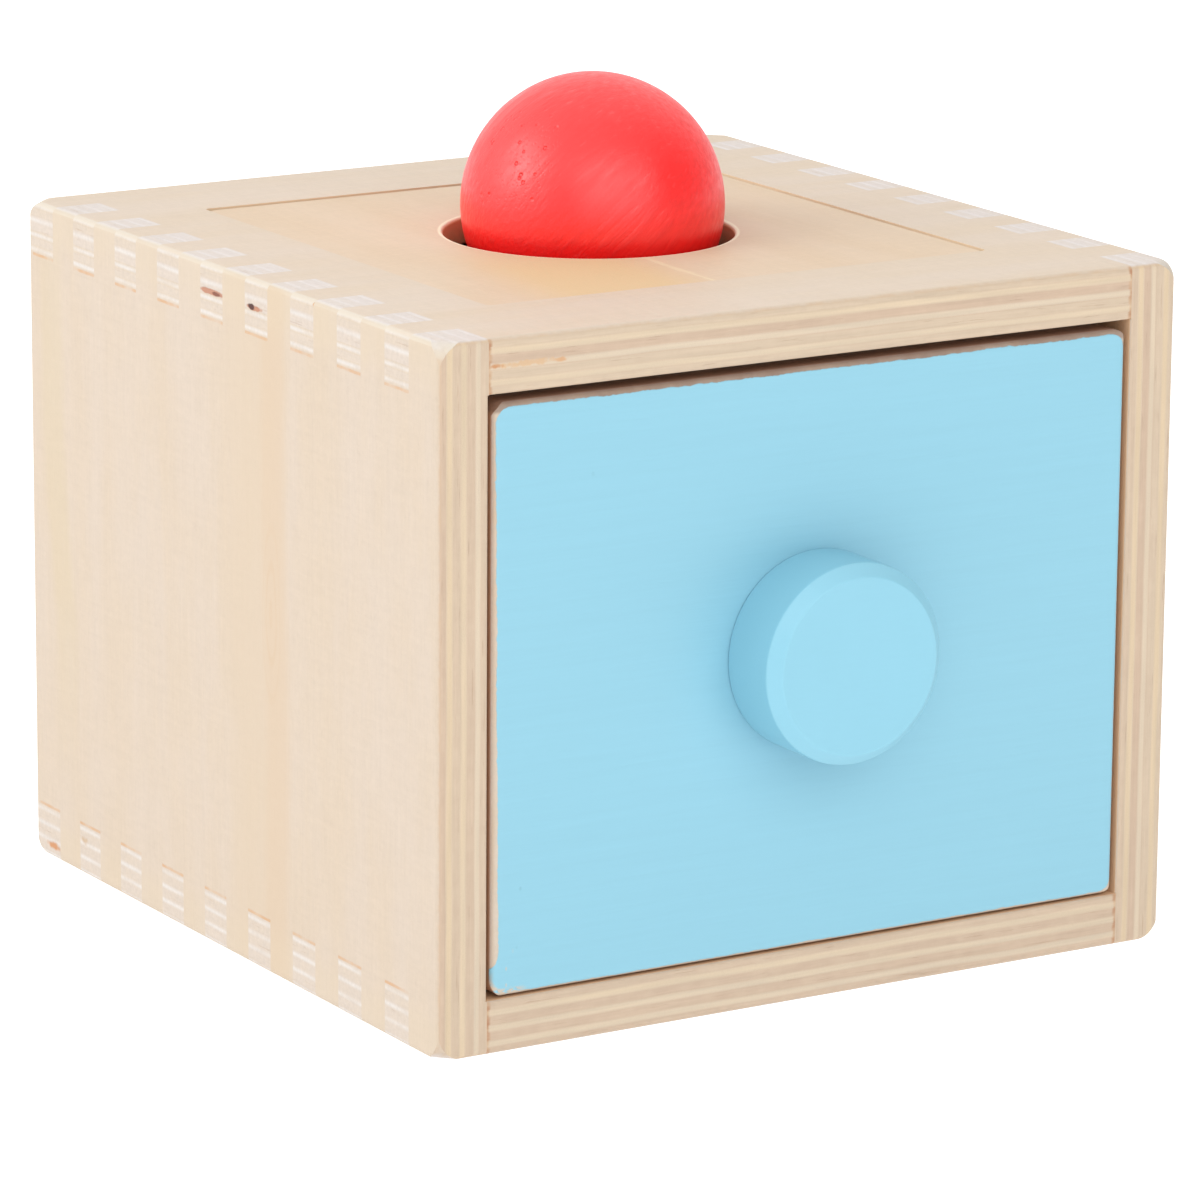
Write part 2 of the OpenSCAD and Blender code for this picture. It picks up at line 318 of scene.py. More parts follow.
@dataclass(frozen=True)
class Sheet:
    """How a board was cut from plywood."""

    through: Axis  # the direction through its plies
    outside: float  # where its first ply's face lies
    thickness: float  # to the last ply's face, below 0 where that is the lower one
    grain: Axis  # the grain of its face
    plies: int = 7

    @property
    def cross(self) -> Axis:
        """The direction in the board's face across its grain."""
        return next(axis for axis in Axis if axis not in (self.through, self.grain))

    def stretch(self, along: float, across: float, second: bool = False) -> Point:
        """How a pattern of fibres is stretched on this board.

        Args:
            along: How much of it passes in a millimetre along the fibres.
            across: How much of it passes in a millimetre across them.
            second: True for the plies between, whose fibres run the other way.

        Returns:
            What passes in a millimetre along X, Y and Z.
        """
        fibres = self.cross if second else self.grain
        x, y, z = (along if axis is fibres else across for axis in Axis)
        return x, y, z

    @classmethod
    def of(cls, node: str, through: Axis, grain: Axis, first_low: bool, plies: int = 7) -> "Sheet":
        """Reads a board's place from the frame.

        Args:
            node: The board's name.
            through: The direction through its plies.
            grain: The grain of its face.
            first_low: True where the first ply's face is the lower one.
            plies: How many plies it has.

        Returns:
            The sheet.
        """
        low, high = (corner[through.value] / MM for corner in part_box(node))
        start, end = (low, high) if first_low else (high, low)
        return cls(through, start, end - start, grain, plies)


@dataclass(frozen=True)
class VeneerTones:
    """The colours of one kind of plywood."""

    pale: Colour = tint(219, 204, 188)  # the face, in bands
    warm: Colour = tint(217, 199, 176)
    cream: Colour = tint(224, 206, 182)  # sawn plies cut across their fibres
    honey: Colour = tint(226, 203, 171)
    rose: Colour = tint(212, 186, 162)  # sawn plies cut along their fibres
    straw: Colour = tint(218, 197, 172)
    chalk: Colour = tint(222, 214, 207)  # sanded finger ends, cut across the fibres
    bloom: Colour = tint(231, 224, 222)  # the same where they come up through the top
    linen: Colour = tint(213, 199, 186)  # sanded finger ends, cut along the fibres
    oat: Colour = tint(211, 194, 174)
    speck: Colour = tint(184, 150, 119)
    joint: Colour = tint(212, 164, 120)
    stain: Colour = tint(182, 124, 84)
    edge_tan: Colour = tint(212, 172, 130)  # a darker tan on the rounded edges
    edge_highlight: Colour = tint(221, 212, 197)  # painted highlight on the rounded edges that lead up to the top


@dataclass(frozen=True)
class Surface:
    """What a flaw has to know of the board that it lies on."""

    bench: Bench
    sheet: Sheet
    tones: VeneerTones
    seed: float
    place: tuple[Signal, ...]  # in millimetres
    facing: list[Signal]  # how far the surface faces along X, Y and Z
    fibre: Signal
    crossed: Signal  # 1 on the plies between, and 0 on the others
    on_edge: Signal  # 1 where the surface is a cut edge

    @property
    def across(self) -> Signal:
        """The place across the grain."""
        return self.place[self.sheet.cross.value]

    @property
    def along(self) -> Signal:
        """The place along the grain."""
        return self.place[self.sheet.grain.value]

    def noise(self, per_mm: Point, step: float, *finer: float) -> Signal:
        """Adds soft noise, some steps of the seed away from the board's other noises."""
        return self.bench.noise(per_mm, self.seed + step, *finer)


@dataclass(frozen=True)
class Look:
    """Where a flaw shows and what it looks like."""

    shown: Signal  # from 0 to 1
    tone: "Colour | Socket"
    sunk: float = 0.0  # how deep it lies in millimetres


class Flaw(ABC):
    """A mark in the wood."""

    @abstractmethod
    def look(self, surface: Surface) -> Look:
        """Says where the mark shows."""


def strongest(signals: list[Signal]) -> Signal:
    """Takes the largest of several signals."""
    return reduce(lambda first, second: first.apply("MAXIMUM", second), signals)


@dataclass(frozen=True)
class HeartStreak(Flaw):
    """A darker band that runs along the grain of a face."""

    across: float  # where its middle lies, across the grain
    reach: float  # half its width
    tone: Colour
    strength: float
    wander: float = 2.0
    start: float = -1000.0  # where it fades in along the grain
    end: float = 1000.0  # where it fades out
    fade: float = 12.0

    def look(self, surface: Surface) -> Look:
        """Says where the band shows."""
        curve = surface.noise(surface.sheet.stretch(0.016, 0.0), 5, 1.0)
        off = abs(surface.across - self.across + (curve - 0.5) * (2 * self.wander))
        shown = (off + (surface.fibre - 0.5) * 3.0).ramp(self.reach * 1.25, self.reach * 0.45)
        ends = surface.along.ramp(self.start - self.fade, self.start + self.fade)
        ends = ends * surface.along.ramp(self.end + self.fade, self.end - self.fade)
        return Look(shown * ends * (1.0 - surface.on_edge) * self.strength, self.tone)


@dataclass(frozen=True)
class Cathedral(Flaw):
    """The nested ovals that a growth ring leaves where the knife met it."""

    across: float
    along: float
    slimness: float  # how much longer than wide the ovals are
    spacing: float  # from line to line, across the grain
    reach: float  # half the width of the whole figure
    tone: Colour
    strength: float

    def look(self, surface: Surface) -> Look:
        """Says where the ovals show."""
        curve = surface.noise(surface.sheet.stretch(0.03, 0.12), 6)
        wide = (surface.across - self.across + (curve - 0.5) * 2.5).apply("POWER", 2.0)
        tall = ((surface.along - self.along) * (1 / self.slimness)).apply("POWER", 2.0)
        off = (wide + tall).apply("SQRT")
        lines = (off * (math.tau / self.spacing)).apply("SINE").ramp(0.2, 1.0)
        shown = lines * off.ramp(self.reach, self.reach * 0.5)
        return Look(shown * (1.0 - surface.on_edge) * self.strength, self.tone)


@dataclass(frozen=True)
class Blemish(Flaw):
    """A small void, knot or resin stain."""

    at: Point
    reach: Point
    tone: Colour
    strength: float = 1.0
    ragged: float = 0.5
    edge: float = 0.55  # how far its full tone reaches, 1 for a hard outline
    sunk: float = 0.1  # how deep it lies in millimetres

    def look(self, surface: Surface) -> Look:
        """Says where the spot shows."""
        bench = surface.bench
        shift = tuple(-at / reach for at, reach in zip(self.at, self.reach))
        scale = tuple(1 / (reach * MM) for reach in self.reach)
        inputs = {0: bench.place, 1: scale, 2: shift}
        moved = bench.put("ShaderNodeVectorMath", inputs, operation="MULTIPLY_ADD")
        length = bench.put("ShaderNodeVectorMath", {0: moved.outputs[0]}, operation="LENGTH")
        rough = surface.noise((0.9, 0.9, 0.9), 7)
        off = Signal(bench, length.outputs[1]) + (rough - 0.5) * (2 * self.ragged)
        return Look(off.ramp(1.0, self.edge) * self.strength, self.tone, self.sunk)


@dataclass(frozen=True)
class FingerGap(Flaw):
    """The thin gaps at the ends of the fingers that come through a panel's face."""

    levels: tuple[float, ...]  # heights of the ends
    width: float
    first: float  # where the row of fingers starts along Y
    finger: float  # width of a finger
    strength: float = 0.75

    def look(self, surface: Surface) -> Look:
        """Says where the gaps show."""
        _, y, z = surface.place
        ragged = surface.noise((0.5, 0.5, 0.5), 8, 3.0, 0.6)
        turn = (y - self.first) * (0.5 / self.finger)
        inside = turn.apply("FRACT").apply("LESS_THAN", 0.5) * y.apply("GREATER_THAN", self.first)
        off = [abs(z - level + (ragged - 0.5) * 0.3) for level in self.levels]
        shown = strongest([near.ramp(self.width, self.width * 0.3) for near in off])
        worn = surface.noise((0.0, 0.2, 0.06), 9, 3.0).ramp(0.3, 0.66)
        return Look(shown * inside * (worn * 0.85 + 0.15) * self.strength, surface.tones.joint, 0.05)


@dataclass(frozen=True)
class PaintedWallLight(Flaw):
    """Painted light: a paler, golden tone on routed walls, set against their shade."""

    reach: float  # how far from the middle of the panel they lie
    tone: Colour
    strength: float

    def look(self, surface: Surface) -> Look:
        """Says where the walls are."""
        off = abs(surface.place[0]).apply("MAXIMUM", abs(surface.place[1]))
        return Look(off.ramp(self.reach + 0.2, self.reach) * surface.on_edge * self.strength, self.tone)


@dataclass(frozen=True)
class PaintedRimHighlight(Flaw):
    """Painted highlight: a pale tone on the hole's rounded rim, paler than the face."""

    behind: float  # how far the hole's centre lies behind the middle of the panel
    reach: float  # how far from the hole's centre it ends
    tone: Colour
    strength: float

    def look(self, surface: Surface) -> Look:
        """Says where the rim is."""
        x, y, _ = surface.place
        flat = abs(x).apply("POWER", 2.0) + abs(y - self.behind).apply("POWER", 2.0)
        near = flat.apply("SQRT").ramp(self.reach + 0.4, self.reach)
        return Look(near * surface.facing[2].ramp(0.3, 0.6) * self.strength, self.tone)


@dataclass(frozen=True)
class PaintedGapShade(Flaw):
    """Painted shade: a warmer, more saturated tone, the colour that shade takes, on the faces of a panel
    that look into a narrow gap or into the box.
    """

    reach: float  # half the width of the room inside
    low: float
    high: float
    tone: Colour = tint(250, 207, 163)
    strength: float = 0.85

    def look(self, surface: Surface) -> Look:
        """Says where the inner faces are."""
        x, _, z = surface.place
        within = abs(x).ramp(self.reach + 0.5, self.reach + 0.2)
        above = z.ramp(self.low - 0.5, self.low - 0.2)
        below = z.ramp(self.high + 0.5, self.high + 0.2)
        sideways = 1.0 - surface.facing[1].ramp(0.15, 0.6)
        shown = within * above * below * sideways * self.strength
        return Look(shown, surface.bench.lit(self.tone, (surface.fibre - 0.5) * 0.2 + 1.0))


@dataclass(frozen=True)
class EdgeTint(Flaw):
    """A yellower tone near a panel's upper and lower rims, where the clear coat ran thicker."""

    low: float
    high: float
    tone: Colour
    strength: float

    def look(self, surface: Surface) -> Look:
        """Says where the clear coat is thicker."""
        soft = surface.noise((0.1, 0.1, 0.1), 14)
        level = surface.place[2] + (soft - 0.5) * 6.0
        high = level.ramp(self.high - 3.0, self.high + 2.0)
        low = level.ramp(self.low + 3.0, self.low - 2.0)
        shown = (high + low) * (1.0 - surface.on_edge) * (soft * 0.8 + 0.4) * self.strength
        return Look(shown, self.tone)


@dataclass(frozen=True)
class JointLine(Flaw):
    """The serrated brown line where another panel's fingers meet a panel's front edge."""

    places: tuple[float, ...]  # along X
    width: float
    low: float  # heights between which the line runs
    high: float

    def look(self, surface: Surface) -> Look:
        """Says where the line shows."""
        x, _, z = surface.place
        toothed = surface.noise((0.3, 0.3, 0.8), 10, 3.0, 0.65)
        width = (1.0 - surface.crossed * 0.35) * self.width
        off = [abs(x - at + (toothed - 0.5) * 0.5) - width for at in self.places]
        near = strongest([distance.ramp(0.25, -0.35) for distance in off])
        above = z.ramp(self.low - 0.15, self.low + 0.15)
        below = z.ramp(self.high + 0.15, self.high - 0.15)
        dark = surface.noise((0.2, 0.2, 0.55), 15).ramp(0.35, 0.65)
        shown = near * above * below * surface.facing[1].ramp(0.3, 0.7) * (dark * 0.4 + 0.4)
        return Look(shown, surface.bench.blend(dark, surface.tones.joint, surface.tones.stain), 0.02)


@dataclass(frozen=True)
class PlywoodFinish:
    """Sanded plywood with its plies, fibres and flaws."""

    name: str
    sheet: Sheet
    tones: VeneerTones = VeneerTones()
    seed: float = 0.0
    flaws: tuple[Flaw, ...] = ()
    roughness: float = 0.56
    specular: float = 0.3
    waviness: float = 0.5  # how far the plies wander, 1 for a whole ply
    highlight_level: float = 60.0  # the painted highlight goes on the rounded edges above this, which lead up to the top

    def wood(self, bench: Bench) -> tuple[Socket, Signal]:
        """Lays the wood's nodes.

        Args:
            bench: The material's bench.

        Returns:
            The colour, and the relief in millimetres.
        """
        sheet = self.sheet
        place = bench.parts(bench.place, 1 / MM)
        facing = [abs(part) for part in bench.parts(bench.facing)]
        wave = bench.noise((0.03, 0.03, 0.03), self.seed + 11, 2.0)
        depth = (place[sheet.through.value] - sheet.outside) * (sheet.plies / sheet.thickness)
        depth = depth + (wave - 0.5) * self.waviness
        depth = depth.apply("MAXIMUM", 0.02).apply("MINIMUM", sheet.plies - 0.02)
        ply = depth.apply("FLOOR")
        crossed = ply.apply("MODULO", 2.0)
        middle = abs(depth - ply - 0.5) * 2.0
        index = bench.put("ShaderNodeCombineXYZ", {0: ply * 1.37 + self.seed, 1: 0.3, 2: 0.7})
        own = bench.noise_at(index.outputs[0], 0.0).ramp(0.25, 0.75)

        fibre = bench.noise(sheet.stretch(0.12, 3.2), self.seed, 3.0, 0.6)
        cross_fibre = bench.noise(sheet.stretch(0.12, 3.2, True), self.seed, 3.0, 0.6)
        fibres = bench.pick(crossed, fibre, cross_fibre)
        patch = bench.noise(sheet.stretch(0.05, 0.35), self.seed + 12, 3.0, 0.6)
        cross_patch = bench.noise(sheet.stretch(0.05, 0.35, True), self.seed + 12, 3.0, 0.6)
        patches = bench.pick(crossed, cross_patch, patch)
        on_edge = facing[sheet.through.value].ramp(0.8, 0.45)
        end_grain = bench.pick(crossed, facing[sheet.grain.value], facing[sheet.cross.value]).ramp(0.3, 0.9)

        face, face_relief = self.face(bench, fibre)
        tones = self.tones
        ripe = own + (patches - 0.5) * 0.9
        bright = end_grain * middle.ramp(1.15, 0.35)
        lengthways = bench.blend(ripe, tones.rose, tones.straw)
        sawn = bench.blend(bright, lengthways, bench.blend(ripe, tones.cream, tones.honey))
        uneven = bench.noise((0.13, 0.13, 0.5), self.seed + 17, 2.0).ramp(0.25, 0.7)
        thin = end_grain * middle.ramp(1.0, 0.0) * (uneven * 0.65 + 0.45)
        evened = bench.pick(facing[2].ramp(0.5, 0.9), thin, thin * 0.3 + 0.5)
        white = bench.blend(facing[2].ramp(0.5, 0.9), tones.chalk, tones.bloom)
        ends = bench.blend(evened, bench.blend(ripe, tones.linen, tones.oat), white)
        cut = bench.blend(facing[1].ramp(0.35, 0.85), ends, sawn)
        speck = fibres.ramp(0.60, 0.74) * (1.0 - end_grain * 0.6)
        cut = bench.blend(speck * 0.35, cut, tones.speck)
        strands = bench.noise(sheet.stretch(0.05, 1.3), self.seed + 18, 3.0, 0.65)
        cut = bench.lit(cut, (strands - 0.5) * 0.26 + (fibres - 0.5) * 0.12 + (patches - 0.5) * 0.10 + 1.0)
        colour = bench.blend(on_edge, face, cut)
        flattest = strongest(facing)
        rounded = flattest.ramp(0.97, 0.8)
        # a darker tan on the rounded edges, in patches
        colour = bench.blend(rounded * patches.ramp(0.3, 0.7) * 0.3, colour, tones.edge_tan)
        # painted highlight on the upper rounded edges that face up and to the side
        upper = place[2].ramp(self.highlight_level, self.highlight_level + 1.0)
        upward = facing[2].ramp(0.25, 0.45) * facing[0].ramp(0.1, 0.3) * upper
        edge_highlight = flattest.ramp(1.0, 0.92) * upward * (patches.ramp(0.3, 0.6) * 0.5 + 0.3)
        colour = bench.blend(edge_highlight, colour, tones.edge_highlight)
        relief = bench.pick(on_edge, face_relief, fibres * 0.03 - speck * 0.04)
        surface = Surface(bench, sheet, tones, self.seed, place, facing, fibre, crossed, on_edge)
        for flaw in self.flaws:
            look = flaw.look(surface)
            colour = bench.blend(look.shown, colour, look.tone)
            if look.sunk:
                relief = relief - look.shown * look.sunk
        return colour, relief

    def face(self, bench: Bench, fibre: Signal) -> tuple[Socket, Signal]:
        """Lays the figure of the face veneer.

        Args:
            bench: The material's bench.
            fibre: The fibres' noise.

        Returns:
            The colour, and the relief in millimetres.
        """
        sheet = self.sheet
        bands = bench.noise(sheet.stretch(0.008, 0.09), self.seed + 1, 3.0, 0.55, 0.4)
        clouds = bench.noise(sheet.stretch(0.05, 0.12), self.seed + 13, 3.0, 0.6)
        lines = bench.noise(sheet.stretch(0.03, 0.8), self.seed + 2, 3.0, 0.6, 0.4)
        pores = bench.noise(sheet.stretch(0.35, 6.0), self.seed + 3, 1.0).ramp(0.62, 0.8)
        ripple = bench.noise(sheet.stretch(0.9, 0.12), self.seed + 4, 3.0, 0.6, 0.6)
        share = bands * 0.6 + clouds * 0.4
        colour = bench.blend(share.ramp(0.34, 0.68) * 0.65 + 0.15, self.tones.pale, self.tones.warm)
        grit = bench.noise((1.1, 1.1, 1.1), self.seed + 16, 3.0, 0.7)
        tone = (lines - 0.5) * 0.06 + (fibre - 0.5) * 0.09 + (ripple - 0.5) * 0.09 + (grit - 0.5) * 0.10
        relief = fibre * 0.03 + lines * 0.012 + ripple * 0.035 + grit * 0.03 - pores * 0.02
        return bench.lit(colour, tone + 1.0 - pores * 0.04), relief

    def material(self) -> bpy.types.Material:
        """Makes the material."""
        bench = MaterialBench(self.name)
        colour, relief = self.wood(bench)
        return bench.finish(colour, self.roughness, relief, self.specular)


@dataclass(frozen=True)
class PaintedBoardFinish:
    """A plywood board with paint on its front face, which stops short of its bare edges."""

    name: str
    wood: PlywoodFinish
    paint: Colour
    low: Point
    high: Point
    corner: float  # radius of the painted area's corners
    bare: tuple[float, float, float]  # what the paint leaves bare along the top, right and lower edges
    bare_left: tuple[float, float]  # the same along the left edge, at its upper and its lower end
    seed: float = 0.0
    gap_shade: Colour = tint(196, 140, 102)  # painted shade on the bare sides next to the paint, where they look into the gaps
    top_edge_shade: Colour = tint(128, 98, 84)  # painted shade on the upper edge, under the case's top panel

    def painted(self, x: Signal, z: Signal) -> Signal:
        """Says how far a place lies outside the painted area, below 0 inside it.

        Args:
            x: The place along X.
            z: The place along Z.

        Returns:
            The distance in millimetres.
        """
        over, right, under = self.bare
        upper, lower = self.bare_left
        slant = (self.high[2] - z) * ((lower - upper) / (self.high[2] - self.low[2]))
        wrapped = z.ramp(self.low[2] + 7, self.low[2] + 3) * (lower + 0.6)
        x = x - (slant - wrapped) * x.ramp(0.0, self.low[0])
        start, end = (self.low[0] + upper, self.low[2] + under), (self.high[0] - right, self.high[2] - over)
        reach = [(b - a) / 2 - self.corner for a, b in zip(start, end)]
        sideways = abs(x - (start[0] + end[0]) / 2) - reach[0]
        upward = abs(z - (start[1] + end[1]) / 2) - reach[1]
        beyond = [off.apply("MAXIMUM", 0.0).apply("POWER", 2.0) for off in (sideways, upward)]
        outside = (beyond[0] + beyond[1]).apply("SQRT")
        return outside + sideways.apply("MAXIMUM", upward).apply("MINIMUM", 0.0) - self.corner

    def material(self) -> bpy.types.Material:
        """Makes the material."""
        bench = MaterialBench(self.name)
        wood_colour, wood_relief = self.wood.wood(bench)
        x, y, z = bench.parts(bench.place, 1 / MM)
        shaky = bench.noise((0.12, 0.12, 0.12), self.seed, 4.0, 0.7)
        edge = self.painted(x, z)
        nibbled = bench.noise((0.7, 0.7, 0.7), self.seed + 6, 3.0, 0.6)
        line = edge + (shaky - 0.5) * 0.7 + (nibbled - 0.5) * 0.5
        rubbed = bench.noise((0.5, 0.5, 0.9), self.seed + 4, 3.0, 0.6).ramp(0.4, 0.5)
        left, back, up = x - self.low[0], y - self.low[1], z - self.low[2]
        low_left = left.ramp(7.0, 4.0) * up.ramp(4.5, 2.0)
        rubbed = rubbed * low_left * edge.ramp(-1.1, -0.5)
        scratch, chosen = bench.cells((0.8, 0.8, 0.45), self.seed + 1)
        near_corner = left.ramp(5.0, 1.0) * up.ramp(16.0, 3.0)
        scratched = scratch.ramp(0.28, 0.16) * chosen.ramp(0.6, 0.7) * near_corner
        dent, lone = bench.cells((0.22, 0.22, 0.16), self.seed + 5)
        dented = dent.ramp(0.09, 0.04) * lone.ramp(0.7, 0.8) * left.ramp(30.0, 5.0)
        gone = (rubbed + scratched).apply("MINIMUM", 1.0)
        painted = line.ramp(0.08, -0.08) * back.ramp(1.1, 0.9) * (1.0 - gone)

        streaks = bench.noise((0.02, 0.5, 0.9), self.seed + 2, 3.0, 0.55)
        fine = bench.noise((0.12, 2.0, 3.0), self.seed + 3, 3.0, 0.6)
        paint = bench.lit(self.paint, (streaks - 0.5) * 0.05 + (fine - 0.5) * 0.04 + 1.0 - dented * 0.12)
        # painted shade on the bare sides near the front, which look into the gaps beside the drawer
        near_front = back.ramp(7.0, 3.0)
        outward = abs(bench.parts(bench.facing)[1]).ramp(0.6, 0.15)
        wood_colour = bench.blend(near_front * outward * 0.75, wood_colour, self.gap_shade)
        # painted shade along the upper edge near the front, under the case's top panel
        top_edge_shaded = z.ramp(self.high[2] - 2.0, self.high[2] - 1.2) * (shaky * 0.6 + 0.35)
        wood_colour = bench.blend(top_edge_shaded * near_front, wood_colour, self.top_edge_shade)
        colour = bench.blend(painted, wood_colour, paint)
        relief = bench.pick(painted, wood_relief, streaks * 0.03 + fine * 0.02 + 0.08 - dented * 0.05)
        roughness = bench.pick(painted, 0.6, 0.42)
        return bench.finish(colour, roughness, relief, 0.4)


@dataclass(frozen=True)
class PaintFinish:
    """Satin paint on turned wood."""

    name: str
    paint: Colour
    seed: float = 0.0

    def material(self) -> bpy.types.Material:
        """Makes the material."""
        bench = MaterialBench(self.name)
        soft = bench.noise((0.08, 0.08, 0.08), self.seed, 3.0)
        fine = bench.noise((0.3, 1.5, 2.5), self.seed + 1, 3.0, 0.6)
        colour = bench.lit(self.paint, (soft - 0.5) * 0.05 + (fine - 0.5) * 0.03 + 1.0)
        roughness = soft * 0.1 + 0.36
        return bench.finish(colour, roughness, fine * 0.02 + soft * 0.03, 0.45)


@dataclass(frozen=True)
class StainedBallFinish:
    """Red stain and wax on a turned ball: fibres show through, and pores where they end."""

    name: str
    stain: Colour
    deep: Colour
    worn: Colour  # where the fibres stand up and the stain is rubbed
    centre: Point
    fibre: Point  # the way that the fibres run
    pore: Point  # the way out to the end grain
    seed: float = 0.0

    def material(self) -> bpy.types.Material:
        """Makes the material."""
        bench = MaterialBench(self.name)
        along = Vector(self.fibre).normalized()
        side = along.orthogonal().normalized()
        third = along.cross(side)
        turned = [
            bench.toward(bench.place, direction * (share / MM))
            for direction, share in ((along, 0.03), (side, 0.9), (third, 0.9))
        ]
        joined = bench.put("ShaderNodeCombineXYZ", dict(enumerate(turned)))
        fibres = bench.noise_at(joined.outputs[0], 4.0, 0.62)
        coarse = bench.noise((0.12, 0.12, 0.12), self.seed, 2.0)
        centre = tuple(part * MM for part in self.centre)
        out = bench.put("ShaderNodeVectorMath", {0: bench.place, 1: centre}, operation="SUBTRACT")
        unit = bench.put("ShaderNodeVectorMath", {0: out.outputs[0]}, operation="NORMALIZE")
        cap = bench.toward(unit.outputs[0], Vector(self.pore).normalized()).ramp(0.88, 0.97)
        hole, chosen = bench.cells((0.62, 0.62, 0.62), self.seed + 1)
        pores = hole.ramp(0.3, 0.12) * chosen.ramp(0.55, 0.62) * cap
        grit, _ = bench.cells((1.5, 1.5, 1.5), self.seed + 2)
        fine_pores = grit.ramp(0.35, 0.15) * cap * 0.4
        thick = bench.noise((0.05, 0.05, 0.05), self.seed + 3, 3.0, 0.6)
        soaked = fibres.ramp(0.4, 0.7) * 0.6 + thick.ramp(0.45, 0.7) * 0.3
        colour = bench.blend(soaked, self.stain, self.deep)
        rubbed = fibres.ramp(0.42, 0.30) * thick.ramp(0.6, 0.4)
        colour = bench.blend(rubbed * 0.5, colour, self.worn)
        colour = bench.blend(pores + fine_pores, colour, self.deep)
        roughness = (fibres - 0.5) * 0.4 + (thick - 0.5) * 0.2 + 0.40
        relief = fibres * 0.12 + coarse * 0.1 - pores * 0.25 - fine_pores * 0.08
        return bench.finish(colour, roughness, relief, 0.9)


@dataclass(frozen=True)
class SteelFinish:
    """Zinc-plated steel, a little dull, with fine scratches."""

    name: str
    seed: float
    colour: Colour = tint(196, 196, 200)
    dulled: Colour = tint(160, 158, 156)

    def material(self) -> bpy.types.Material:
        """Makes the material."""
        bench = MaterialBench(self.name)
        dull = bench.noise((0.8, 0.8, 0.8), self.seed, 3.0)
        scratch = bench.noise((6.0, 6.0, 0.6), self.seed + 1, 2.0)
        plain = bench.blend(dull.ramp(0.3, 0.8) * 0.4, self.colour, self.dulled)
        bench.shader.inputs["Metallic"].default_value = 1.0
        return bench.finish(plain, dull * 0.3 + 0.25, scratch * 0.01, 0.5)


def dress(node: str, material: bpy.types.Material) -> None:
    """Gives a node of the frame its finish.

    Args:
        node: The node's name.
        material: The finish.
    """
    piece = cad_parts[node]
    piece.data.materials.clear()
    piece.data.materials.append(material)
    LOG.info("dressed %s in %s", node, material.name)


